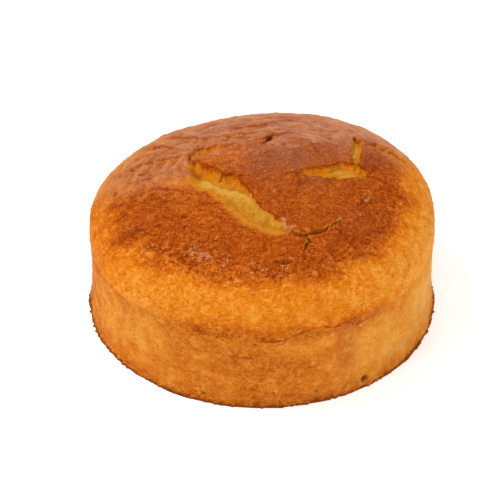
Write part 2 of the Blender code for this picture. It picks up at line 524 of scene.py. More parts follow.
# The tears of the dome. The first is the longest.
TEARS = (
    Tear(
        route=(
            (-41.5, 26, 0.4, 1.0),
            (-39.5, 20, 1.6, 3.0),
            (-36.8, 13.5, 4.0, 5.6),
            (-33.7, 6.4, 5.8, 4.6),
            (-28.5, 1.0, 5.8, 3.8),
            (-18.5, -6.8, 6.8, 3.6),
            (-12.6, -19.1, 5.8, 3.6),
            (-6.9, -29.8, 4.3, 3.2),
            (1.4, -38.4, 3.5, 3.0),
            (9.6, -42.9, 2.0, 2.4),
            (14, -45.8, 0.8, 2.0),
        ),
        lift=2.2 * MM,
        lift_reach=13 * MM,
        steep_edge=2.6 * MM,
        soft_edge=6.0 * MM,
        halo=9.0 * MM,
    ),
    Tear(
        route=(
            (14, -45.7, 0.7, 1.8),
            (16.7, -47.1, 0.5, 1.8),
            (20.5, -49.2, 0.5, 2.0),
            (23.6, -48.9, 0.8, 2.6),
            (28.2, -45.2, 1.1, 3.0),
            (31.5, -44.0, 1.0, 2.8),
            (33.7, -43.4, 0.5, 2.0),
            (36.5, -40.0, 0.4, 1.8),
            (40.5, -36.5, 0.5, 1.8),
            (45.6, -32.5, 0.2, 0.7),
        ),
        lift=0.9 * MM,
        lift_reach=5 * MM,
        steep_edge=0.8 * MM,
        soft_edge=1.6 * MM,
    ),
    Tear(
        route=(
            (23.2, -49.8, 0.7, 2.4),
            (24.4, -54, 0.9, 2.2),
            (23, -58, 0.5, 1.4),
            (22, -61, 0.2, 0.5),
        ),
        steep_edge=0.9 * MM,
        soft_edge=1.2 * MM,
    ),
    Tear(
        route=(
            (10.5, 3.6, 0.3, 0.6),
            (14, 6.2, 0.5, 1.4),
            (21, 6.2, 1.0, 2.0),
            (27, 6.1, 2.1, 2.8),
            (33.5, 6.8, 3.6, 3.4),
            (40, 6.6, 5.4, 3.8),
            (45, 9.0, 6.0, 3.8),
            (50, 9.3, 5.0, 3.6),
            (54, 8.3, 3.4, 3.2),
            (57.5, 5.2, 1.0, 2.0),
            (61, 5.6, 0.5, 1.5),
            (66, 4.2, 0.4, 1.3),
            (71, 1.6, 0.2, 0.5),
        ),
        lift=1.5 * MM,
        lift_reach=9 * MM,
        steep_edge=1.6 * MM,
        soft_edge=2.0 * MM,
        halo=0.6 * MM,
        bared=0.9,
    ),
    Tear(
        route=(
            (52.6, 45, 0.5, 1.6),
            (53.6, 38, 2.4, 2.6),
            (52.3, 29.5, 2.6, 2.4),
            (52.8, 21, 1.9, 2.2),
            (53.5, 16, 1.0, 1.8),
        ),
        lift=0.6 * MM,
        lift_reach=6 * MM,
        steep_edge=1.4 * MM,
        soft_edge=1.8 * MM,
    ),
    Tear(
        route=(
            (51.5, 45.2, 0.8, 2.0),
            (55.5, 41.6, 1.5, 2.8),
            (59.5, 39.6, 0.9, 2.2),
            (63.6, 40.9, 1.4, 2.4),
            (66.3, 37.6, 1.1, 2.2),
            (69.8, 37.2, 1.3, 2.2),
            (74.4, 35, 0.6, 1.5),
            (81.1, 30, 0.3, 1.0),
            (84.5, 26, 0.2, 0.5),
        ),
        lift=1.7 * MM,
        lift_reach=6 * MM,
        steep_edge=1.0 * MM,
        soft_edge=2.0 * MM,
    ),
    Tear(
        route=(
            (-43, 23, 0.4, 0.9),
            (-42.5, 29, 0.9, 1.6),
            (-38, 33.6, 1.6, 2.2),
            (-32, 35.6, 1.8, 2.3),
            (-26, 37.6, 1.3, 1.9),
            (-18, 40.5, 0.4, 0.7),
        ),
        lift=0.9 * MM,
        lift_reach=6 * MM,
        steep_edge=1.4 * MM,
        bared=0.75,
    ),
    Tear(
        route=(
            (-4, 39.5, 0.3, 0.6),
            (1.5, 41, 0.9, 1.7),
            (3.4, 43.5, 1.2, 2.3),
            (5.5, 47, 1.1, 2.0),
            (6.8, 51, 0.4, 0.7),
        ),
        lift=0.8 * MM,
        lift_reach=5 * MM,
        steep_edge=1.2 * MM,
        soft_edge=1.6 * MM,
        bared=0.5,
    ),
    Tear(
        route=(
            (-26, 46.6, 0.4, 0.6),
            (-20, 49.8, 1.2, 1.7),
            (-14, 52.8, 1.5, 1.8),
            (-7, 55, 0.5, 0.7),
        ),
        lift=0.7 * MM,
        lift_reach=6 * MM,
        steep_edge=1.2 * MM,
        bared=0.55,
    ),
)

# Rolls of bare crumb that lie in the tears.
ROLLS = (
    Roll(
        route=(
            (-36, 8, 0.3, 3.0),
            (-34.3, 2.7, 1.4, 3.6),
            (-27.7, -4.0, 1.8, 3.8),
            (-20.1, -9.5, 2.2, 4.0),
            (-13.7, -13.0, 2.2, 3.8),
            (-8.1, -18.8, 2.2, 3.5),
            (-3.2, -26.7, 2.0, 3.1),
            (3.6, -35.8, 1.8, 2.6),
            (8.2, -40.4, 1.2, 2.2),
        )
    ),
    Roll(route=((41.5, 1.2, 0.7, 1.5), (44.5, 2.0, 0.7, 1.5))),
    Roll(route=((37, 11.0, 0.2, 2.0), (43, 11.8, 0.9, 2.8), (50, 11.4, 0.5, 2.2))),
    Roll(route=((44, 6.0, 0.6, 1.8), (49, 7.4, 1.2, 2.4), (54, 6.8, 0.4, 1.6))),
    Roll(route=((52.4, 26, 0.3, 1.8), (53.3, 33, 0.7, 2.2), (53.6, 38, 0.3, 1.6))),
)

# Where the bottom of a tear lies in deep shade.
TEAR_SHADES = (
    Patch(-37.6, 13.5, 3.0, 5.0, 0.75, 0.3),
    Patch(40.0, 6.0, 2.2, 1.6, 0.7),
    Patch(30.0, 7.0, 4.0, 1.6, 0.5),
    Patch(55.0, 7.5, 3.0, 1.6, 0.5),
)

# Where the crust beside a tear stays brown up to its edge.
BROWN_EDGES = (Patch(-45.0, 12.0, 7.0, 9.0, 0.9, 0.2), Patch(-20.0, -20.0, 5.0, 3.0, 0.35, 0.8))

# Folds on the dome, seen from above; each gets painted shade at the foot of its steep side.
DOME_FOLDS = (
    Fold(
        ((56.0, -20.6, 0.2), (56.9, -18.6, 1.2), (58.3, -15.8, 1.3), (59.4, -13.6, 0.2)),
        far_reach=0.9 * MM,
        near_reach=0.7 * MM,
        shaded=1.4,
    ),
    Fold(
        ((-84.6, 23.5, 0.3), (-75.4, 26, 1.0), (-67.5, 29, 1.1), (-53.6, 29.5, 0.9), (-44, 31, 0.8)),
        bared=0.22,
    ),
    Fold(((-70, 1.5, 0.1), (-57.3, -1, 0.8), (-48.1, -5.3, 0.9), (-39.1, -5.5, 0.4)), bared=0.22),
    Fold(((-76, 56, 0.3), (-61.3, 49.5, 1.0), (-52.9, 42.6, 0.8), (-44, 36, 0.5)), bared=0.22),
    Fold(((-65.3, 60.8, 0.3), (-53.4, 58.8, 1.0), (-35.7, 50.2, 1.0), (-22.9, 52.4, 0.5)), bared=0.22),
    Fold(((-40, 62, 0.2), (-17.2, 64.7, 0.9), (0.3, 65.4, 0.9), (16.8, 72.7, 0.7), (36, 74, 0.2))),
    Fold(((-86, 4, 0.2), (-75, 9, 0.8), (-62, 12, 0.8), (-52, 16, 0.3))),
    Fold(((-80, 38, 0.2), (-70, 40, 0.8), (-58, 37, 0.6), (-50, 36, 0.2)), bared=0.22),
    Fold(
        ((30, 22, 0.3), (28.7, 28, 1.4), (26.5, 33.8, 1.7), (23.8, 39.9, 1.6), (20.4, 45.1, 0.6)),
        shaded=1.3,
        bared=0.1,
    ),
    Fold(
        ((-8, 42, 0.2), (0, 44.5, 0.8), (8.3, 47.8, 1.1), (14.2, 51.5, 1.0), (24, 49, 0.3)),
        shaded=1.3,
        bared=0.12,
    ),
    Fold(
        ((19.8, -7, 0.3), (19.6, -2, 1.7), (18.6, 3.5, 1.6), (17, 6.5, 0.4)),
        far_reach=3.0 * MM,
        shaded=1.3,
    ),
    Fold(((56, -3, 0.2), (68, -8, 0.6), (77, -6.6, 0.7), (83, -11.6, 0.3))),
    Fold(((8, -68, 0.2), (14, -69, 0.6), (20, -71, 0.6), (25, -75, 0.2))),
    Fold(((10, -82, 0.1), (26, -77, 0.5), (40, -70, 0.5), (52, -63, 0.2))),
    Fold(((-66, -30, 0.1), (-54, -33, 0.5), (-44, -38, 0.5), (-34, -44, 0.2))),
    Fold(((-79.5, -38, 0.2), (-73, -36, 0.8), (-67, -39, 0.6), (-60, -46, 0.2)), near_reach=0.8 * MM),
    Fold(((-64, -54, 0.2), (-60, -57, 0.8), (-53, -57, 0.6), (-47, -58, 0.2)), near_reach=0.7 * MM),
    Fold(((-51, -47, 0.2), (-49, -52, 0.7), (-48, -56, 0.2)), near_reach=0.6 * MM),
    Fold(((-36, -56, 0.2), (-27, -62, 0.8), (-20, -67, 0.7), (-13, -75, 0.2)), near_reach=0.8 * MM),
    Fold(((-5, -74, 0.2), (4, -76, 0.6), (12, -80, 0.2)), near_reach=0.7 * MM),
    Fold(((58, -52, 0.2), (63, -46, 0.6), (68, -38, 0.2)), near_reach=0.7 * MM),
)

# Small pits and blisters on the dome, seen from above; the pits get painted shade.
DOME_DENTS = (
    Dent(-64.2, 48.4, 2.0, 0.9, 1.6, 0.4, 0.1),
    Dent(-76.5, 24.4, 1.7, 0.8, 1.4, 0.5, 0.1),
    Dent(-83.0, 3.5, 1.6, 0.7, 1.6, 1.2, 0.1),
    Dent(-53.5, -14.3, 1.5, 0.6, 2.0, 0.2),
    Dent(-61.1, -4.7, 1.1, 0.5),
    Dent(-61.9, 3.3, 1.0, 0.4),
    Dent(3.1, 43.6, 1.8, 1.1, 1.6, 1.0),
    Dent(39.6, 5.2, 1.3, 1.8, 1.8, 0.1),
    Dent(55.4, -17.4, 0.8, 0.8, 5.0, 1.1),
    Dent(57.0, -16.0, 1.1, -0.9, 4.4, 1.1),
    Dent(-22.4, 4.4, 1.0, 0.8, 1.6, 0.2),
    Dent(-18.0, 3.0, 1.0, 0.9, 1.8, 0.0),
    Dent(-13.4, 1.4, 0.9, 0.8, 1.5, -0.5),
    Dent(-6.7, 30.0, 0.6, 0.4),
    Dent(16.0, -74.0, 0.8, 0.5, 2.0, -0.6),
    Dent(48.0, -50.0, 0.9, 0.5, 1.8, 0.6),
    Dent(66.0, -30.0, 0.9, 0.5, 1.5, 1.3),
    Dent(-69.3, 16.8, 0.9, 0.5, 1.8, 0.3, 0.2),
    Dent(-42.9, -29.1, 1.0, 0.6, 1.8, 0.2),
    Dent(-3.3, -72.9, 0.9, 0.8),
    Dent(-20.9, -75.5, 0.8, 0.6),
    Dent(22.2, -65.5, 1.0, 0.8, 1.4, 0.5),
    Dent(11.6, -68.8, 0.8, 0.9, 3.2, 0.2),
    Dent(-13.7, -55.8, 0.8, 0.6, 1.6, 0.0),
    Dent(-0.2, -61.7, 0.8, 0.6, 2.0, 0.6),
)

# Pale flakes that stand on the lip of the longest tear and on the crust, as dents below 0.
FLAKES = (
    Dent(11.6, -42.4, 1.5, -0.8, 1.7, -0.8),
    Dent(13.6, -45.0, 1.2, -0.7, 2.0, 0.4),
    Dent(16.0, -44.4, 1.2, -0.6, 1.5, -0.4),
    Dent(10.0, -38.2, 1.0, -0.5, 1.8, -0.8),
    Dent(42.0, -34.4, 1.1, -0.5, 1.9, 0.7),
    Dent(-26.0, -50.0, 1.0, -0.3, 1.6, 0.4),
    Dent(11.6, -71.2, 0.7, -0.5, 2.4, 0.3),
    Dent(11.5, -79.2, 0.7, -0.4, 2.2, 1.5),
    Dent(-13.7, -80.0, 0.8, -0.4, 2.0, 0.7),
    Dent(0.4, -73.8, 0.7, -0.4, 2.0, -0.3),
    Dent(-41.0, -36.0, 0.9, -0.3, 1.4, 0.9),
    Dent(57.7, -16.8, 1.3, -1.0, 2.6, 1.15),
)

# Wrinkles on the wall, unrolled: the way round the cake and the height, in mm.
# Each gets a painted shadow under its upper lip and a painted highlight on its lower lip.
WALL_FOLDS = (
    Fold(
        ((-287, 49.7, 0.5), (-262, 52, 1.2), (-245, 51.5, 1.4), (-228, 47.5, 1.3), (-212, 44.5, 0.3)),
        near_reach=0.8 * MM,
        shaded=0.4,
        bared=0.16,
    ),
    Fold(
        ((-270, 49, 0.2), (-256, 49.0, 0.9), (-244, 48.0, 1.1), (-232, 44.5, 0.3)),
        near_reach=0.7 * MM,
        shaded=0.4,
        bared=0.16,
    ),
    Fold(((-213, 41, 0.2), (-203, 38.3, 0.6), (-193, 35.6, 0.7), (-183, 34.6, 0.2)), shaded=0.7),
    Fold(((-190, 53, 0.2), (-178, 56, 0.5), (-168, 57, 0.2)), near_reach=0.7 * MM),
    Fold(
        ((-156, 46.2, 0.5), (-150, 46.0, 1.4), (-143, 48.4, 1.6), (-139, 48.6, 1.4), (-134, 50.4, 0.5)),
        bared=0.2,
    ),
    Fold(
        ((-149, 42.5, 0.3), (-144, 45.6, 1.2), (-140, 47.8, 0.5)),
        near_reach=0.6 * MM,
        bared=0.12,
    ),
    Fold(
        ((-137, 51.4, 0.5), (-131, 52.4, 1.4), (-125, 54.2, 1.7), (-118, 52.6, 1.3), (-112, 50.4, 0.4)),
        bared=0.2,
    ),
    Fold(
        ((-104, 46.5, 0.4), (-97, 47.4, 0.9), (-88, 47.6, 1.0), (-76, 50.5, 0.8), (-60, 49.2, 0.3)),
        near_reach=0.7 * MM,
    ),
    Fold(
        ((-178, 36.5, 0.2), (-172, 34.5, 0.8), (-164, 34.2, 0.7), (-158, 35.2, 0.2)),
        near_reach=0.6 * MM,
    ),
    Fold(((-176, 26, 0.1), (-164, 24.5, 0.5), (-150, 25.5, 0.5), (-138, 24, 0.1)), near_reach=0.6 * MM),
    Fold(((-180, 15, 0.1), (-168, 14, 0.4), (-156, 15, 0.1)), near_reach=0.6 * MM),
    Fold(((-128, 33, 0.1), (-120, 31.5, 0.5), (-110, 32.5, 0.1)), near_reach=0.6 * MM),
)

# Pits in the wall and one larger, deeper pit, unrolled as its wrinkles are; they get painted shade,
# darker the deeper they go.
WALL_DENTS = (
    Dent(-95.6, 5.2, 1.9, 3.0, 1.15, 0.2),
    Dent(-95.6, 5.2, 2.7, -0.5, 1.25, 0.2),
    Dent(-149.7, 9.3, 0.75, 0.9),
    Dent(-125.7, 7.2, 0.75, 0.9),
    Dent(-189.0, 5.3, 0.8, 0.7),
    Dent(-88.0, 30.0, 0.6, 0.5),
    Dent(-104.0, 52.0, 0.7, 0.6),
    Dent(-99.5, 54.5, 0.6, 0.5),
    Dent(-108.5, 50.0, 0.6, 0.5),
)

# How much browner the crust is than its plain ring of colour, seen from above.
DOME_PATCHES = (
    Patch(-34, -52, 30, 13, 0.06, -0.5),
    Patch(-46, -30, 16, 12, -0.12, 0.0),
    Patch(-47, 2, 7, 6, -0.25, 0.0),
    Patch(-62, -30, 17, 12, 0.10, -1.0),
    Patch(20, -66, 30, 11, 0.12, 0.2),
    Patch(46, -40, 20, 16, 0.26, 0.8),
    Patch(60, -14, 14, 20, 0.14, 0.0),
    Patch(62, 22, 13, 18, 0.20, 0.2),
    Patch(12, 14, 36, 20, 0.22, 0.0),
    Patch(-58, 4, 26, 15, -0.20, 0.1),
    Patch(-62, 34, 24, 20, -0.12, 0.3),
    Patch(-22, 30, 15, 12, -0.22, 0.0),
    Patch(-86, -10, 14, 26, 0.20, 0.0),
    Patch(-18, 14, 12, 14, -0.16, 0.0),
    Patch(-52, 36, 26, 16, -0.12, 0.6),
    Patch(-80, -40, 12, 14, 0.16, 0.0),
    Patch(-72, -35, 7, 5, 0.32, 0.3),
    Patch(-46, -54, 11, 4, 0.2, -0.2),
    Patch(-62, -60, 6, 4, 0.2, -0.5),
    Patch(-30, -56, 14, 4, 0.14, -0.5),
    Patch(60, -70, 20, 10, -0.14, 0.7),
    Patch(86, -34, 13, 24, -0.14, 0.3),
    Patch(-30, -86, 30, 8, -0.06, -0.3),
    Patch(-20, -44, 18, 9, 0.05, -0.5),
    Patch(78, 40, 12, 20, -0.22, 0.6),
)

# Where the dome's crust is pebbled.
PEBBLE_PATCHES = (
    Patch(-52, -64, 30, 16, 1.0, -0.7),
    Patch(-6, -82, 40, 11, 0.8, 0.0),
    Patch(52, -66, 26, 12, 0.5, 0.8),
    Patch(78, -22, 12, 30, 0.5, 0.0),
)

# Where small pale flakes lie loose on the dome.
FLECK_PATCHES = (
    Patch(-60, -48, 8, 4, 0.42, 0.3),
    Patch(-27, -66, 15, 6, 0.30, -0.5),
    Patch(-12, -68, 14, 5, 0.26, -0.3),
    Patch(-71, -29, 6, 3, 0.40, 0.2),
    Patch(-26, -34, 6, 2, 0.42, 0.0),
    Patch(-40, -58, 14, 5, 0.34, -0.3),
    Patch(2, -74, 16, 6, 0.3, 0.1),
    Patch(40, -66, 14, 7, 0.3, 0.5),
    Patch(-2, -52, 40, 22, 0.12, 0.0),
)

# Where the dome's crust is plum-coloured: a darker brown whose purple cast is painted sheen.
PLUM_PATCHES = (
    Patch(7, 16, 26, 18, 0.85, 0.0),
    Patch(20, 26, 24, 14, 0.45, 0.0),
    Patch(30, -4, 14, 7, 0.5, 0.3),
    Patch(60, 26, 12, 12, 0.35, 0.0),
    Patch(-46, -14, 18, 6, 0.25, 0.1),
    Patch(54, -30, 14, 12, 0.3, 0.6),
)

# How much browner the wall is, unrolled as for its wrinkles.
WALL_PATCHES = (
    Patch(-108, 32, 5, 20, 0.14),
    Patch(-128, 42, 11, 6, -0.18),
    # The three bands just under the crease are painted shade under the dome's overhang.
    Patch(-97, 51, 22, 5, 0.32),
    Patch(-158, 52, 46, 5, 0.26),
    Patch(-200, 50, 18, 5, 0.14),
    Patch(-150, 22, 26, 9, 0.10),
    # Painted light on the wall's left side, where a side lamp falls.
    Patch(-240, 30, 38, 26, -0.19),
    # Painted light and sheen on the wall's right edge.
    Patch(-30, 30, 44, 30, -0.42),
    Patch(-94, 24, 22, 24, -0.28),
    # Painted light and sheen on the wall's right edge, a little further back.
    Patch(10, 34, 26, 34, -0.30),
    Patch(-60, 8, 28, 9, -0.16),
)

# Where the wall is plum-coloured, unrolled too.
WALL_PLUM = (
    Patch(-108, 30, 6.5, 19, 0.5),
    Patch(-96, 51.5, 21, 5.5, 0.7),
    Patch(-130, 4, 60, 4, 0.25),
    Patch(-58, 10, 22, 8, 0.25),
)


@dataclass(frozen=True)
class Grain:
    """The small roughness of crust and crumb.

    Attributes:
        lump_size: How wide a lump is.
        grain_size: How wide a grain is.
        fine_size: How wide a grain of the finest kind is.
        ridge_size: How wide the pebbles between the furrows are.
        ripple_length: How far apart the ripples of the thin sheet lie, outwards.
        ripple_count: About how many of them there are in a sixth of a turn.
        streak_height: How high a streak of the wall is.
        streak_count: About how many of them there are in a sixth of a turn.
        crust_lump: How high the lumps of the crust are.
        crust_grain: How high its grains are.
        pebble_grain: How much higher they are where it is pebbled.
        crust_fine: How high its finest grains are.
        furrow: How deep the furrows between its pebbles are.
        ripple: How high the ripples are.
        ripple_swell: How much higher they stand in the form than in the finish.
        streak: How high the streaks are where the wall is browned.
        crag_range: How far the crust's grain goes from its lowest to its highest.
        crumb_lump: How high the lumps of the crumb are.
        crumb_grain: How high its grains are.
        crumb_fine: How high its finest grains are.
    """

    lump_size: float = 8 * MM
    grain_size: float = 2.6 * MM
    fine_size: float = 1.3 * MM
    ridge_size: float = 4.2 * MM
    ripple_length: float = 4 * MM
    ripple_count: float = 6.5
    streak_height: float = 3 * MM
    streak_count: float = 7.0
    crust_lump: float = 0.3 * MM
    crust_grain: float = 0.24 * MM
    pebble_grain: float = 0.22 * MM
    crust_fine: float = 0.12 * MM
    furrow: float = 0.22 * MM
    ripple: float = 0.6 * MM
    ripple_swell: float = 0.3 * MM
    streak: float = 0.6 * MM
    crag_range: float = 1.1 * MM
    crumb_lump: float = 0.6 * MM
    crumb_grain: float = 0.6 * MM
    crumb_fine: float = 0.3 * MM

    def relief(self, places: np.ndarray, marks: Marks) -> np.ndarray:
        """Works out the roughness and sets the crags.

        Args:
            places: The points, with the larger relief already in them.
            marks: Their marks.

        Returns:
            How far each point moves outwards.
        """
        x, y, z = places.T
        radius, angle = np.hypot(x, y), np.arctan2(y, x)
        lumps = rough_field(places, self.lump_size, 11.0)
        grains = rough_field(places, self.grain_size, 17.0)
        fine = rough_field(places, self.fine_size, 23.0)
        ridges = 1.0 - 3.0 * np.abs(rough_field(places, self.ridge_size, 29.0))
        turned = np.column_stack([np.cos(angle), np.sin(angle)])
        ringed = np.column_stack([radius / self.ripple_length, self.ripple_count * turned])
        ripples = 0.8 * rough_field(ringed, 1.0, 37.0) + 0.7 * rough_field(ringed, 0.45, 47.0)
        levelled = np.column_stack([self.streak_count * turned, z / self.streak_height])
        streaks = rough_field(levelled, 1.0, 43.0) * marks.wall * np.clip(marks.bake, 0.0, 0.5)
        sheets = ripples * marks.sheet * (1.0 - marks.wall)
        pits = (self.crust_grain + self.pebble_grain * marks.pebble) * grains
        pits += self.crust_fine * fine - self.furrow * ridges * (1.0 - marks.smooth)
        pits += self.ripple * sheets + self.streak * streaks
        marks.crag = np.clip(0.5 + pits / self.crag_range, 0.0, 1.0)
        crust = self.crust_lump * lumps + pits + self.ripple_swell * sheets
        crumb = self.crumb_lump * lumps + self.crumb_grain * grains + self.crumb_fine * fine
        return crust * (1.0 - marks.torn) + crumb * marks.torn


@dataclass(frozen=True)
class Bake:
    """How the oven coloured the cake.

    Attributes:
        drift: How far the edges of the colours stray.
        drift_size: Over what width they do.
        brown_radius: How far out from the axis the dome is brown.
        brown_fade: Over what length that turns to gold.
        dark_radius: Where the brown has a darker ring.
        dark_spread: How wide that ring is.
        rim_radius: How far out the dome takes on the wall's patches.
        foot_height: How far up the wall it is browner towards the foot.
        crease_height: Where the wall is painted a little darker below the crease, as shade under the
            dome's overhang.
        crease_spread: How wide that band is.
        wall_top: Where the wall's colour begins to give way to the dome's.
        wall_fade: Over what height it does.
        sheet_front: How far back the thin, rippled sheet begins.
        sheet_back: Over what length it does.
        sheet_radius: How far out it goes.
        sheet_fade: Over what length it ends.
        foot_top: How high the dark foot is.
        foot_fade: Over what height it ends.
        foot_crumb: How wide one tatter of its upper edge is.
    """

    drift: float = 6 * MM
    drift_size: float = 14 * MM
    brown_radius: float = 70 * MM
    brown_fade: float = 23 * MM
    dark_radius: float = 64 * MM
    dark_spread: float = 9 * MM
    rim_radius: float = 90 * MM
    foot_height: float = 12 * MM
    crease_height: float = 46 * MM
    crease_spread: float = 5 * MM
    wall_top: float = 46 * MM
    wall_fade: float = 8 * MM
    sheet_front: float = 18 * MM
    sheet_back: float = 28 * MM
    sheet_radius: float = 88 * MM
    sheet_fade: float = 10 * MM
    foot_top: float = 1.0 * MM
    foot_fade: float = 0.8 * MM
    foot_crumb: float = 2.4 * MM

    def colour(self, places: np.ndarray, around: np.ndarray, marks: Marks) -> None:
        """Sets how brown, plum-coloured, smooth, pebbled and flaked each point is.

        Args:
            places: The points of the turned body.
            around: How far round the unrolled wall each lies.
            marks: Their marks, which are added to.
        """
        x, y, z = places.T
        radius = np.hypot(x, y)
        drift = rough_field(places, self.drift_size, 31.0)
        ring = radius + self.drift * drift + 3 * MM * rough_field(places, 4.5 * MM, 53.0)
        top = 0.62 - 0.52 * smooth_step((ring - self.brown_radius) / self.brown_fade)
        top += 0.10 * hump(ring, self.dark_radius, self.dark_spread)
        browner = sum(patch.at(around, z) for patch in WALL_PATCHES)
        top += sum(patch.at(x, y) for patch in DOME_PATCHES)
        top += browner * (radius > self.rim_radius)
        side = 0.32 + 0.10 * drift + 0.12 * (1.0 - smooth_step(z / self.foot_height))
        # Painted shade in a band below the crease, under the dome's overhang.
        side += 0.03 * hump(z, self.crease_height, self.crease_spread) + browner
        on_dome = smooth_step((z - self.wall_top) / self.wall_fade)
        marks.wall = 1.0 - on_dome
        marks.bake = np.clip(top * on_dome + side * marks.wall, -0.3, 1.0)
        plum = sum(patch.at(x, y) for patch in PLUM_PATCHES) * on_dome
        plum += sum(patch.at(around, z) for patch in WALL_PLUM) * marks.wall
        marks.plum = np.clip(plum, 0.0, 1.0)
        back = smooth_step((y + 2 * self.drift * drift - self.sheet_front) / self.sheet_back)
        left = smooth_step((-30 * MM - x) / (14 * MM)) * smooth_step((y + 12 * MM) / (26 * MM))
        within = 1.0 - smooth_step((ring - self.sheet_radius) / self.sheet_fade)
        marks.sheet = np.clip(np.maximum(back, left) * on_dome * within, 0.0, 1.0)
        marks.smooth = np.clip(np.maximum(marks.sheet, plum * on_dome), 0.0, 1.0)
        pebble = sum(patch.at(x, y) for patch in PEBBLE_PATCHES) * on_dome
        marks.pebble = np.clip(pebble, 0.0, 1.0)
        flecks = sum(patch.at(x, y) for patch in FLECK_PATCHES) * on_dome
        marks.fleck = np.clip(marks.fleck + flecks, 0.0, 1.0)
        ragged = z + 0.9 * MM * rough_field(places, self.foot_crumb, 41.0)
        marks.foot = 1.0 - smooth_step((ragged - self.foot_top) / self.foot_fade)


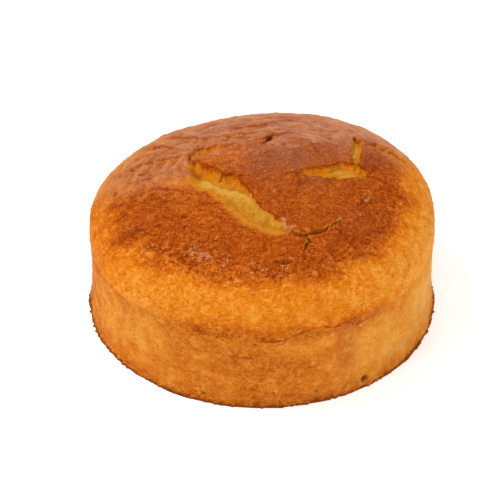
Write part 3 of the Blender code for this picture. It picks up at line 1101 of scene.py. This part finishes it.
@dataclass
class CakeBody:
    """The cake: the turned body, its crust, and what the finish reads from it.

    Attributes:
        tin: The straight side's form.
        dome: The top's form.
        grain: The crust's and the crumb's roughness.
        bake: The crust's colours.
        segments: How many steps the outline is turned in.
        ring_step: How far apart the outline's points lie.
        foot_rings: The heights of the foot's points, in mm.
        refine_rounds: How often the long edges may be split.
        longest_edge: How long an edge may stay.
        fine_edge: The same by a tear, in the foot and by a wrinkle or a pit of the wall.
        tear_margin: How far beside a tear the edges are fine.
        fold_margin: The same beside a wrinkle of the wall.
        dent_margin: The same around a pit of the wall.
        fine_foot: How high up the foot the edges are fine.
        base_edge: The height below which the base stays flat.
        foot_ragged: How far the foot strays outwards and inwards.
        foot_crumb: How wide one crumb of the foot is.
        crease_wander: How far the crease strays up and down.
        crease_window: How far above and below the crease that reaches.
        top_fade: Over what height the wall's relief gives way to the dome's.
        tatter: How far the edges of the flakes stray.
        tatter_size: How wide one tatter of them is.
    """

    tin: Tin = Tin()
    dome: Dome = Dome()
    grain: Grain = Grain()
    bake: Bake = Bake()
    segments: int = 72
    ring_step: float = 1.15 * MM
    foot_rings: tuple[float, ...] = (0.35, 0.8, 1.3, 1.8, 2.4, 3.1, 4.0)
    refine_rounds: int = 5
    longest_edge: float = 1.2 * MM
    fine_edge: float = 0.6 * MM
    tear_margin: float = 2.0 * MM
    fold_margin: float = 1.8 * MM
    dent_margin: float = 2.6 * MM
    fine_foot: float = 2.6 * MM
    base_edge: float = 0.1 * MM
    foot_ragged: float = 1.05 * MM
    foot_crumb: float = 1.8 * MM
    crease_wander: float = 1.6 * MM
    crease_window: float = 9 * MM
    top_fade: float = 6 * MM
    tatter: float = 1.5 * MM
    tatter_size: float = 1.7 * MM

    def profile(self) -> list[tuple[float, float]]:
        """The outline from the middle of the base, up the wall, to the crown.

        Returns:
            Its (radius, height) points.
        """
        base = self.tin.radius(0.0)
        points = [(0.0, 0.0), (base * 0.5, 0.0), (base - 3 * MM, 0.0), (base - 0.5 * MM, 0.0)]
        heights = [height * MM for height in self.foot_rings]
        rest = self.tin.shoulder_height - heights[-1]
        count = round(rest / self.ring_step)
        heights += [heights[-1] + rest * step / count for step in range(1, count)]
        points += [(self.tin.radius(height), height) for height in heights]
        points += self.dome.profile(
            self.tin.shoulder_radius, self.tin.shoulder_height, self.ring_step
        )
        return points + [(0.0, self.dome.height)]

    def turned(self) -> bmesh.types.BMesh:
        """The outline spun a full turn about Z.

        Returns:
            The body, closed at both poles.
        """
        bm = bmesh.new()
        ring = [bm.verts.new((radius, 0.0, height)) for radius, height in self.profile()]
        edges = [bm.edges.new(pair) for pair in zip(ring, ring[1:])]
        bmesh.ops.spin(
            bm,
            geom=ring + edges,
            cent=(0, 0, 0),
            axis=(0, 0, 1),
            angle=2 * math.pi,
            steps=self.segments,
            use_merge=True,
        )
        bmesh.ops.remove_doubles(bm, verts=bm.verts, dist=0.01 * MM)
        bmesh.ops.recalc_face_normals(bm, faces=bm.faces)
        return bm

    def refine(self, bm: bmesh.types.BMesh) -> None:
        """Splits the edges that are too long.

        Args:
            bm: The turned body.
        """
        for _ in range(self.refine_rounds):
            ends = np.array([[*edge.verts[0].co, *edge.verts[1].co] for edge in bm.edges])
            middle = (ends[:, :3] + ends[:, 3:]) / 2
            length = np.linalg.norm(ends[:, :3] - ends[:, 3:], axis=1)
            near = np.full(len(middle), np.inf)
            for tear in TEARS:
                near = np.minimum(near, tear.clearance(middle[:, 0], middle[:, 1]))
            height = middle[:, 2]
            fine = (near < self.tear_margin) & (height > self.tin.shoulder_height)
            fine |= (height < self.fine_foot) & (height > self.base_edge)
            around = self.tin.around(middle)
            for fold in WALL_FOLDS:
                line = beside(fold.route, around, height)
                fine |= (line.away < self.fold_margin) & (height < self.tin.shoulder_height)
            for dent in WALL_DENTS:
                fine |= np.hypot(around - dent.x * MM, height - dent.y * MM) < self.dent_margin
            most = np.where(fine, self.fine_edge, self.longest_edge)
            split = (length > most) & (height > self.base_edge)
            edges = [edge for edge, chosen in zip(bm.edges, split) if chosen]
            if not edges:
                break
            bmesh.ops.subdivide_edges(bm, edges=edges, cuts=1, use_grid_fill=True)
        bmesh.ops.triangulate(bm, faces=[face for face in bm.faces if len(face.verts) > 4])

    def shape(self, bm: bmesh.types.BMesh) -> Marks:
        """Moves the turned body's points to the real crust.

        Args:
            bm: The turned, refined body.

        Returns:
            The marks of every point, in the order of the body's points.
        """
        bm.normal_update()
        places = np.array([vert.co[:] for vert in bm.verts])
        normals = np.array([vert.normal[:] for vert in bm.verts])
        x, y, z = places.T
        radius = np.hypot(x, y)
        angle = np.arctan2(y, x)
        share = radius / self.tin.shoulder_radius
        on_top = smooth_step((z - self.tin.shoulder_height) / self.top_fade)
        up = np.minimum(1.0, z / self.tin.shoulder_height)
        marks = Marks(len(places))
        relief = self.top_relief(places, marks) * on_top
        relief += self.side_relief(places, marks) * (1.0 - on_top)
        relief += self.dome.swell_height * rough_field(places, self.dome.swell_size) * on_top
        self.bake.colour(places, self.tin.around(places), marks)
        relief += self.grain.relief(places + normals * relief[:, None], marks)
        low = 1.0 - smooth_step(z / self.tin.foot_height)
        outwards = self.tin.lobes.stray(angle) * (1.0 - up)
        outwards += self.dome.shoulder_lobes.stray(angle) * up
        outwards *= share
        outwards += low * self.foot_ragged * rough_field(places, self.foot_crumb) * share**8
        wander = hump(z, self.tin.crease_height, self.crease_window) * self.crease_wander
        flat = np.column_stack([x, y, np.zeros(len(x))])
        wander *= rough_field(flat, self.dome.swell_size)
        above = z > self.base_edge
        places[:, 0] += np.cos(angle) * outwards
        places[:, 1] += np.sin(angle) * outwards
        places += normals * (relief * above)[:, None]
        places[:, 2] += np.where(above, on_top * self.dome.lean(angle, share) + wander, 0.0)
        places[:, 2] = np.maximum(places[:, 2], 0.0)
        for vert, place in zip(bm.verts, places):
            vert.co = place
        return marks

    def top_relief(self, places: np.ndarray, marks: Marks) -> np.ndarray:
        """Works out the dome's tears, folds, pits and flakes.

        Args:
            places: The points of the turned body.
            marks: Their marks, which are added to.

        Returns:
            How far each point moves outwards.
        """
        x, y = places[:, 0].copy(), places[:, 1].copy()
        for reach, size, seed in STRAYS:
            x += reach * MM * rough_field(places, size * MM, seed)
            y += reach * MM * rough_field(places, size * MM, seed + 6.2)
        cut, lifted = np.zeros(len(x)), np.zeros(len(x))
        for tear in TEARS:
            depth, raised, seen = tear.relief(x, y)
            deeper = depth > cut
            cut = np.maximum(cut, depth)
            lifted = np.maximum(lifted, raised)
            marks.torn = np.where(deeper, seen.torn, np.maximum(marks.torn, seen.torn))
            marks.face = np.maximum(marks.face, seen.face)
            marks.gap = np.maximum(marks.gap, seen.gap)
            marks.seam = np.maximum(marks.seam, seen.seam)
        # The painted shade and the dark rims are broken up into clumps.
        clumps = rough_field(places, 3.2 * MM, 63.0)
        marks.seam *= 0.6 + 0.5 * smooth_step((clumps + 0.2) / 0.4)
        for edge in BROWN_EDGES:
            marks.torn *= 1.0 - edge.at(x, y)
        for shade in TEAR_SHADES:
            marks.gap = np.maximum(marks.gap, shade.at(x, y) * smooth_step(cut / MM))
        for roll in ROLLS:
            risen, pale = roll.relief(x, y)
            inside = smooth_step(cut / (2.0 * MM))
            cut = cut - risen * inside
            marks.torn += 0.34 * pale * inside
        relief = lifted * (1.0 - smooth_step(cut / (3 * MM))) - cut
        for fold in DOME_FOLDS:
            raised, shade, bare = fold.relief(x, y)
            relief += raised
            # Painted shade at the foot of each fold's steep side.
            marks.seam = np.maximum(marks.seam, 0.62 * shade)
            marks.torn = np.maximum(marks.torn, bare)
        for dent in DOME_DENTS:
            reach = dent.reach(x, y)
            relief -= dent.depth * MM * reach
            # Painted shade in each pit, darker the deeper it is.
            if dent.depth > 0:
                marks.seam = np.maximum(marks.seam, 0.7 * reach)
                marks.hole = np.maximum(marks.hole, dent.depth * dent.darkness * reach)
        tatter_x = x + self.tatter * rough_field(places, self.tatter_size, 51.0)
        tatter_y = y + self.tatter * rough_field(places, self.tatter_size, 57.0)
        for flake in FLAKES:
            reach = flake.reach(tatter_x, tatter_y)
            relief -= flake.depth * MM * reach
            marks.fleck = np.maximum(marks.fleck, reach)
        return relief

    def side_relief(self, places: np.ndarray, marks: Marks) -> np.ndarray:
        """Works out the wall's wrinkles, its pits and its one deeper pit, and their painted shade and
        highlights.

        Args:
            places: The points of the turned body.
            marks: Their marks, which are added to.

        Returns:
            How far each point moves outwards.
        """
        around, height = self.tin.around(places), places[:, 2]
        on_wall = 1.0 - smooth_step((height - self.tin.shoulder_height) / self.top_fade)
        u = around + 1.0 * MM * rough_field(places, 6 * MM, 2.2)
        v = height + 0.8 * MM * rough_field(places, 8 * MM, 7.4)
        v += 0.7 * MM * rough_field(places, 2.4 * MM, 4.8)
        relief = np.zeros(len(u))
        for fold in WALL_FOLDS:
            raised, shade, bare = fold.relief(u, v)
            relief += raised
            # Painted shadow under each wrinkle's overhanging upper lip.
            marks.seam = np.maximum(marks.seam, 0.95 * shade * on_wall)
            # Painted highlight on the lit lower lip below each wrinkle.
            marks.torn = np.maximum(marks.torn, bare * on_wall)
        for dent in WALL_DENTS:
            reach = dent.reach(around, height)
            relief -= dent.depth * MM * reach
            # Painted shade in the wall's pits, darker the deeper they go.
            if dent.depth > 0:
                dark = (0.5 + 0.12 * dent.depth) * reach
                marks.hole = np.maximum(marks.hole, dark * on_wall)
        return relief

    def build(self) -> bpy.types.Object:
        """Builds the cake as one closed mesh that keeps its marks.

        Returns:
            The cake's object, at the origin.
        """
        bm = self.turned()
        self.refine(bm)
        marks = self.shape(bm)
        low_x, high_x = min(v.co.x for v in bm.verts), max(v.co.x for v in bm.verts)
        low_y, high_y = min(v.co.y for v in bm.verts), max(v.co.y for v in bm.verts)
        shift = Vector((-(low_x + high_x) / 2, -(low_y + high_y) / 2, 0.0))
        bmesh.ops.translate(bm, vec=shift, verts=bm.verts)
        for name in Marks.names():
            layer = bm.verts.layers.float.new(name)
            for vert, value in zip(bm.verts, getattr(marks, name)):
                vert[layer] = value
        mesh = bpy.data.meshes.new("cake_crust")
        bm.to_mesh(mesh)
        bm.free()
        mesh.shade_smooth()
        cake = bpy.data.objects.new("cake_crust", mesh)
        bpy.context.scene.collection.objects.link(cake)
        return cake

    def dress(self, cake: bpy.types.Object, finish: "CrustFinish") -> None:
        """Gives the cake its finish and tells the frame what it stands for.

        Args:
            cake: The cake's object.
            finish: The crust's finish.
        """
        cake.data.materials.append(finish.material())
        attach(cake, "root")
        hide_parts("cake")


class Sum(Enum):
    """The sums that a material can do with two values."""

    ADD = "ADD"
    SUBTRACT = "SUBTRACT"
    MULTIPLY = "MULTIPLY"


class Signal:
    """A value inside a material, which can be added to, multiplied and so on like a number."""

    def __init__(self, bench: "Bench", socket: bpy.types.NodeSocket) -> None:
        """Keeps the socket that carries the value."""
        self.bench = bench
        self.socket = socket

    def _sum(self, kind: Sum, first: "Signal | float", second: "Signal | float") -> "Signal":
        """The result of one sum."""
        node = self.bench.node("ShaderNodeMath", {"operation": kind.value}, {0: first, 1: second})
        return Signal(self.bench, node.outputs[0])

    def __add__(self, other: "Signal | float") -> "Signal":
        """Self plus other."""
        return self._sum(Sum.ADD, self, other)

    __radd__ = __add__

    def __sub__(self, other: "Signal | float") -> "Signal":
        """Self less other."""
        return self._sum(Sum.SUBTRACT, self, other)

    def __rsub__(self, other: "Signal | float") -> "Signal":
        """Other less self."""
        return self._sum(Sum.SUBTRACT, other, self)

    def __mul__(self, other: "Signal | float") -> "Signal":
        """Self times other."""
        return self._sum(Sum.MULTIPLY, self, other)

    __rmul__ = __mul__

    def rise(self, start: float, end: float) -> "Signal":
        """A smooth rise from 0 to 1 as the value goes from start to end."""
        settings = {"interpolation_type": "SMOOTHSTEP"}
        inputs = {"Value": self, "From Min": start, "From Max": end}
        return Signal(self.bench, self.bench.node("ShaderNodeMapRange", settings, inputs).outputs[0])


class Bench:
    """Where a material's nodes are put together."""

    def __init__(self, name: str) -> None:
        """Starts a material with nothing but its shader."""
        self.material = bpy.data.materials.new(name)
        self.material.use_nodes = True
        self.tree = self.material.node_tree
        self.shader = self.tree.nodes["Principled BSDF"]

    def set(self, node: bpy.types.Node, inputs: dict) -> None:
        """Sets or links each input of a node.

        Args:
            node: The node.
            inputs: A value or a signal for each input, by the input's name or number.
        """
        for key, value in inputs.items():
            socket = node.inputs[key]
            if isinstance(value, Signal):
                self.tree.links.new(value.socket, socket)
            else:
                socket.default_value = value

    def node(self, kind: str, settings: dict, inputs: dict) -> bpy.types.Node:
        """Adds a node.

        Args:
            kind: What kind of node.
            settings: Its settings, by name.
            inputs: A value or a signal for each input, by the input's name or number.

        Returns:
            The node.
        """
        node = self.tree.nodes.new(kind)
        for name, value in settings.items():
            setattr(node, name, value)
        self.set(node, inputs)
        return node

    def mark(self, name: str) -> Signal:
        """One of the marks that the mesh keeps at its points."""
        node = self.node("ShaderNodeAttribute", {"attribute_name": name}, {})
        return Signal(self, node.outputs["Fac"])

    def place(self) -> Signal:
        """Where the point lies in the object."""
        return Signal(self, self.node("ShaderNodeTexCoord", {}, {}).outputs["Object"])

    def squeezed(self, place: Signal, share: float) -> Signal:
        """The places with their heights stretched, so that patterns lie flat.

        Args:
            place: Where each point lies.
            share: How many times its height counts.

        Returns:
            The stretched places.
        """
        inputs = {0: place, 1: (1.0, 1.0, share)}
        node = self.node("ShaderNodeVectorMath", {"operation": "MULTIPLY"}, inputs)
        return Signal(self, node.outputs[0])

    def noise(self, place: Signal, size: float, detail: float = 2.0, rough: float = 0.5) -> Signal:
        """Smooth noise around 0.5.

        Args:
            place: Where each point lies.
            size: How wide a bump is.
            detail: How many finer layers of noise are added.
            rough: How strong each finer layer is.

        Returns:
            The noise.
        """
        inputs = {"Vector": place, "Scale": 1.0 / size, "Detail": detail, "Roughness": rough}
        return Signal(self, self.node("ShaderNodeTexNoise", {}, inputs).outputs[0])

    def cells(self, place: Signal, size: float) -> Signal:
        """How far each point is from the middle of its cell, for pores, in shares of a cell."""
        node = self.node("ShaderNodeTexVoronoi", {}, {"Vector": place, "Scale": 1.0 / size})
        return Signal(self, node.outputs["Distance"])

    def lay(self, under: "Signal | tuple", over: "Signal | tuple", share: "Signal | float") -> Signal:
        """One colour laid over another, as strongly as share says."""
        node = self.node("ShaderNodeMix", {"data_type": "RGBA"}, {"Factor": share, 6: under, 7: over})
        return Signal(self, node.outputs[2])


@dataclass(frozen=True)
class CrustFinish:
    """The colours of the crust and the crumb, their patterns and how they shine.

    The patterns' sizes are the widths of one bump of each. The dome's colours run from straw at its
    edge to dark, and the wall's from cream to brown. A pit colour is painted shade in the low grains
    and a tip colour a painted highlight on the high ones, in gold crust, in brown crust and in the
    thin sheet. The brown pit colour also marks the crust's own dark spots and hairline wrinkles.
    """

    straw: tuple = paint(238, 156, 56)
    gold: tuple = paint(224, 128, 22)
    amber: tuple = paint(202, 100, 14)
    brown: tuple = paint(178, 80, 9)
    dark: tuple = paint(136, 50, 3)
    # Painted shade for low grains, then painted highlights for tips.
    gold_pit_shade: tuple = paint(190, 86, 6)
    gold_tip_highlight: tuple = paint(250, 178, 96)
    brown_pit: tuple = paint(120, 36, 0)
    brown_tip: tuple = paint(218, 126, 62)
    sheet_pit_shade: tuple = paint(150, 58, 3)
    sheet_tip_highlight: tuple = paint(196, 128, 76)
    # The plum colour is the plate's own darker brown, with its purple cast a painted sheen.
    plum: tuple = paint(138, 70, 30)
    # The rose colour is a painted sheen: the greyish pink that grazing light gives the thin sheet.
    rose: tuple = paint(176, 106, 52)
    wall_plum: tuple = paint(184, 98, 46)
    wall_cream: tuple = paint(234, 178, 96)
    wall_pale: tuple = paint(226, 150, 54)
    wall_gold: tuple = paint(207, 116, 28)
    wall_brown: tuple = paint(168, 76, 13)
    crumb_pale: tuple = paint(208, 153, 60)
    crumb_gold: tuple = paint(201, 127, 24)
    crumb_edge: tuple = paint(204, 124, 34)
    crumb_face: tuple = paint(234, 139, 26)
    # The colour of the painted shade in the bottom of narrow tears.
    gap: tuple = paint(166, 77, 12)
    # The colour of the painted shade at folds, lips and pits, and of the dark rims of tears.
    seam: tuple = paint(148, 52, 2)
    foot: tuple = paint(142, 70, 20)
    # The colour of the painted shade deep in pits.
    hole: tuple = paint(104, 42, 4)
    fleck: tuple = paint(210, 136, 80)
    roughness: float = 0.6
    specular: float = 0.02
    shine: float = 0.55
    shine_roughness: float = 0.45
    squeeze: float = 1.9
    fine_size: float = 0.75 * MM
    grain_size: float = 2.2 * MM
    blotch_size: float = 9 * MM
    pore_size: float = 3.2 * MM
    spot_size: float = 1.5 * MM
    wrinkle_size: float = 7 * MM
    wrinkle_width: float = 0.0007
    bump_height: float = 2.0 * MM

    def material(self) -> bpy.types.Material:
        """The crust as a material.

        Returns:
            The material, which reads the marks of the mesh.
        """
        bench = Bench("cake_crust")
        place = bench.place()
        marks = {name: bench.mark(name) for name in Marks.names()}
        flat = bench.squeezed(place, self.squeeze)
        fine = bench.noise(flat, self.fine_size, 1.0, 0.5)
        grain = bench.noise(flat, self.grain_size, 3.0, 0.65)
        blotch = bench.noise(place, self.blotch_size, 3.0, 0.55)
        coarse = 1.2 + marks["pebble"] * 1.1
        crag = (marks["crag"] - 0.5) * (0.7 + marks["sheet"] * 0.6)
        relief = (fine - 0.5) * 1.4 + (grain - 0.5) * coarse + crag
        top = self.top_colour(bench, marks, blotch, relief)
        wall = self.wall_colour(bench, marks, blotch)
        colour = bench.lay(top, wall, marks["wall"])
        colour = self.speckled(bench, marks, relief, colour)
        colour = self.pitted(bench, marks, blotch, colour)
        colour = self.torn_colour(bench, marks, fine, grain + (blotch - 0.5) * 0.6, colour)
        bench.set(bench.shader, {"Base Color": colour})
        height = fine * 0.45 + grain * 0.7
        strength = 1.0 - marks["smooth"] * 0.3 - marks["torn"] * 0.3
        inputs = {"Strength": strength, "Distance": self.bump_height, "Height": height}
        bump = bench.node("ShaderNodeBump", {}, inputs)
        bench.set(bench.shader, {"Normal": Signal(bench, bump.outputs[0])})
        shine = (1.0 - marks["torn"].rise(0.0, 0.3)) * (1.0 - marks["gap"]) * self.shine
        glossy = marks["sheet"] * (0.2 + marks["crag"] * 0.6) + marks["smooth"] * 0.2
        settings = {
            "Roughness": self.roughness,
            "Metallic": 0.0,
            "Specular IOR Level": self.specular,
            "Coat Weight": glossy * shine,
            "Coat Roughness": self.shine_roughness,
        }
        bench.set(bench.shader, settings)
        return bench.material

    def top_colour(self, bench: Bench, marks: dict, blotch: Signal, relief: Signal) -> Signal:
        """The dome's crust, from straw at its edge to dark brown.

        Args:
            bench: The material's bench.
            marks: The marks of the mesh.
            blotch: The noise of the blotches.
            relief: How far the grains stand out.

        Returns:
            The dome's colour.
        """
        # Low grains are painted a little browner, as shade.
        brown = marks["bake"] + (blotch - 0.5) * 0.8 - relief * 0.2
        colour = bench.lay(self.straw, self.gold, brown.rise(-0.2, 0.16))
        colour = bench.lay(colour, self.amber, brown.rise(0.12, 0.42))
        colour = bench.lay(colour, self.brown, brown.rise(0.38, 0.68))
        colour = bench.lay(colour, self.dark, brown.rise(0.8, 1.3))
        # Painted sheen: the thin sheet is tinted rose, and the plates' purple cast is painted sheen
        # too.
        tint = 0.35 + blotch * 0.7
        colour = bench.lay(colour, self.rose, marks["sheet"] * tint)
        return bench.lay(colour, self.plum, marks["plum"] * tint)

    def wall_colour(self, bench: Bench, marks: dict, blotch: Signal) -> Signal:
        """The wall's crust, from pale gold to brown.

        Args:
            bench: The material's bench.
            marks: The marks of the mesh.
            blotch: The noise of the blotches.

        Returns:
            The wall's colour.
        """
        brown = marks["bake"] + (blotch - 0.5) * (0.55 + marks["bake"] * 1.5)
        colour = bench.lay(self.wall_cream, self.wall_pale, brown.rise(-0.3, 0.05))
        colour = bench.lay(colour, self.wall_gold, brown.rise(-0.02, 0.36))
        colour = bench.lay(colour, self.wall_brown, brown.rise(0.34, 0.95))
        return bench.lay(colour, self.wall_plum, marks["plum"] * 0.9)

    def speckled(self, bench: Bench, marks: dict, relief: Signal, crust: Signal) -> Signal:
        """The crust with painted shade in its low grains and painted highlights on its tips.

        Args:
            bench: The material's bench.
            marks: The marks of the mesh.
            relief: How far the grains stand out.
            crust: The colour so far.

        Returns:
            The speckled colour.
        """
        browned = marks["bake"].rise(0.2, 0.55)
        strength = 0.55 + browned * 0.4
        strength = strength + marks["wall"] * (marks["bake"] - 0.1) * 0.7 - marks["sheet"] * 0.2
        strength = strength - marks["plum"] * 0.12
        pit = bench.lay(self.gold_pit_shade, self.brown_pit, browned)
        pit = bench.lay(pit, self.sheet_pit_shade, marks["sheet"])
        tip = bench.lay(self.gold_tip_highlight, self.brown_tip, browned)
        tip = bench.lay(tip, self.sheet_tip_highlight, marks["sheet"])
        # Painted shade in the low grains, then painted highlights on the tips.
        colour = bench.lay(crust, pit, (0.0 - relief).rise(0.0, 0.5) * strength)
        return bench.lay(colour, tip, relief.rise(0.04, 0.54) * strength)

    def pitted(self, bench: Bench, marks: dict, blotch: Signal, crust: Signal) -> Signal:
        """The crust with its pores, small dark spots and hairline wrinkles.

        Args:
            bench: The material's bench.
            marks: The marks of the mesh.
            blotch: The noise of the blotches.
            crust: The colour so far.

        Returns:
            The pitted colour.
        """
        place = bench.place()
        flat = bench.squeezed(place, self.squeeze)
        pores = bench.cells(place, self.pore_size).rise(0.16, 0.07) * blotch.rise(0.45, 0.6)
        colour = bench.lay(crust, self.dark, pores * 0.6)
        spots = (0.5 - bench.noise(flat, self.spot_size, 2.0, 0.6)).rise(0.1, 0.17)
        colour = bench.lay(colour, self.brown_pit, spots * marks["bake"].rise(0.15, 0.6) * 0.55)
        wave = bench.noise(flat, self.wrinkle_size, 4.0, 0.6) - 0.5
        wrinkles = (wave * wave).rise(self.wrinkle_width, 0.0) * blotch.rise(0.46, 0.6)
        return bench.lay(colour, self.brown_pit, wrinkles * marks["bake"].rise(0.2, 0.5) * 0.5)

    def torn_colour(
        self, bench: Bench, marks: dict, fine: Signal, grain: Signal, crust: Signal
    ) -> Signal:
        """The crust with its torn crumb, its painted shade in folds, tears and pits, dark rims, flecks
        and foot laid over it.

        Args:
            bench: The material's bench.
            marks: The marks of the mesh.
            fine: The noise of the finest grains.
            grain: The noise of the larger ones.
            crust: The colour so far.

        Returns:
            The finished colour.
        """
        torn = marks["torn"] + (grain - 0.5) * 0.8 * marks["torn"].rise(0.0, 0.3)
        edge = bench.lay(self.crumb_edge, self.crumb_face, marks["face"])
        colour = bench.lay(crust, edge, torn.rise(0.04, 0.42))
        colour = bench.lay(colour, self.crumb_gold, torn.rise(0.3, 0.6))
        colour = bench.lay(colour, self.crumb_pale, (torn + (fine - 0.5) * 0.3).rise(0.6, 1.0))
        crumbs = (fine - 0.5) * (0.5 + marks["face"] * 1.6)
        # Painted shade at folds, lips and pits, and the dark rims of tears.
        seam = (marks["seam"] + crumbs * marks["seam"].rise(0.0, 0.2)).rise(0.16, 0.6)
        colour = bench.lay(colour, self.seam, seam * 0.8)
        # Painted shade in the bottom of narrow tears.
        colour = bench.lay(colour, self.gap, marks["gap"].rise(0.1, 1.0))
        flecks = (marks["fleck"] + (grain - 0.5) * 1.4 + (fine - 0.5) * 0.8).rise(0.42, 0.75)
        colour = bench.lay(colour, self.fleck, flecks * marks["fleck"].rise(0.02, 0.1) * 0.85)
        # Painted shade deep in pits.
        colour = bench.lay(colour, self.hole, marks["hole"])
        return bench.lay(colour, self.foot, marks["foot"])


@dataclass(frozen=True)
class Lamp:
    """A soft white panel of light, aimed at the cake.

    Attributes:
        name: The lamp's name.
        place: Where it hangs.
        size: How wide it is.
        power: How bright it is, in watts.
    """

    name: str
    place: tuple[float, float, float]
    size: float
    power: float

    def hang(self, aim: Vector) -> bpy.types.Object:
        """Hangs the panel in its place.

        Args:
            aim: What it shines at.

        Returns:
            The lamp.
        """
        light = bpy.data.lights.new(self.name, "AREA")
        light.shape = "DISK"
        light.size = self.size
        light.energy = self.power
        lamp = bpy.data.objects.new(self.name, light)
        lamp.location = self.place
        lamp.rotation_mode = "QUATERNION"
        lamp.rotation_quaternion = (aim - lamp.location).to_track_quat("-Z", "Y")
        bpy.context.scene.collection.objects.link(lamp)
        return lamp


@dataclass(frozen=True)
class Studio:
    """A pale floor, white surroundings, soft lights and the camera.

    Attributes:
        floor_size: How long a side of the floor is.
        floor_colour: The floor's colour.
        floor_glow: How much light the floor gives of itself.
        sky: How bright the white surroundings are.
        aim: What the camera and the lamps look at.
        distance: How far the camera stands from there.
        elevation: How high above level it looks down from, in degrees.
        lens: Its focal length in millimetres.
        lamps: The panels of light.
    """

    floor_size: float = 8.0
    floor_colour: tuple = paint(252, 252, 252)
    floor_glow: float = 0.35
    sky: float = 0.45
    aim: tuple[float, float, float] = (-6.7 * MM, 0.0, 33.4 * MM)
    distance: float = 1.3
    elevation: float = 37.0
    lens: float = 163.1
    lamps: tuple[Lamp, ...] = (
        Lamp("top_panel", (-0.5, 0.1, 1.0), 0.4, 7.0),
        Lamp("back_panel", (0.1, 1.1, 0.45), 0.7, 3.0),
        Lamp("left_panel", (-0.9, -0.75, 0.5), 0.5, 5.0),
        Lamp("right_panel", (0.95, -0.6, 0.5), 0.5, 6.0),
    )

    def lay_floor(self) -> bpy.types.Object:
        """Lays the plain floor, which isn't part of the cake.

        Returns:
            The floor.
        """
        bm = bmesh.new()
        bmesh.ops.create_grid(bm, x_segments=1, y_segments=1, size=self.floor_size / 2)
        mesh = bpy.data.meshes.new("floor")
        bm.to_mesh(mesh)
        bm.free()
        bench = Bench("floor")
        bench.set(bench.shader, {"Base Color": self.floor_colour, "Roughness": 0.9})
        bench.set(bench.shader, {"Specular IOR Level": 0.0, "Emission Strength": self.floor_glow})
        bench.set(bench.shader, {"Emission Color": self.floor_colour})
        mesh.materials.append(bench.material)
        floor = bpy.data.objects.new("floor", mesh)
        bpy.context.scene.collection.objects.link(floor)
        return floor

    def light(self) -> None:
        """White surroundings and the panels."""
        world = bpy.data.worlds.new("studio")
        world.use_nodes = True
        sky = world.node_tree.nodes["Background"]
        sky.inputs["Color"].default_value = (1.0, 1.0, 1.0, 1.0)
        sky.inputs["Strength"].default_value = self.sky
        bpy.context.scene.world = world
        for lamp in self.lamps:
            lamp.hang(Vector(self.aim))

    def set_camera(self) -> bpy.types.Object:
        """Sets up the camera, in front of the cake and above it.

        Returns:
            The camera.
        """
        rise = math.radians(self.elevation)
        back = Vector((0.0, -math.cos(rise), math.sin(rise)))
        data = bpy.data.cameras.new("camera")
        data.lens = self.lens
        data.sensor_width = 36.0
        data.clip_start = 0.05
        camera = bpy.data.objects.new("camera", data)
        camera.location = Vector(self.aim) + back * self.distance
        camera.rotation_mode = "QUATERNION"
        camera.rotation_quaternion = (-back).to_track_quat("-Z", "Y")
        bpy.context.scene.collection.objects.link(camera)
        bpy.context.scene.camera = camera
        return camera


def main() -> None:
    """Builds the cake over the frame, sets up the studio and logs the cake's triangle count."""
    logging.basicConfig(level=logging.INFO, format="%(message)s")
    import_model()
    body = CakeBody()
    cake = body.build()
    body.dress(cake, CrustFinish())
    triangles = sum(len(face.vertices) - 2 for face in cake.data.polygons)
    LOG.info("%s: %d triangles", cake.name, triangles)
    studio = Studio()
    studio.lay_floor()
    studio.light()
    studio.set_camera()
    bpy.context.scene.view_settings.view_transform = "Standard"


if __name__ == "__main__":
    main()
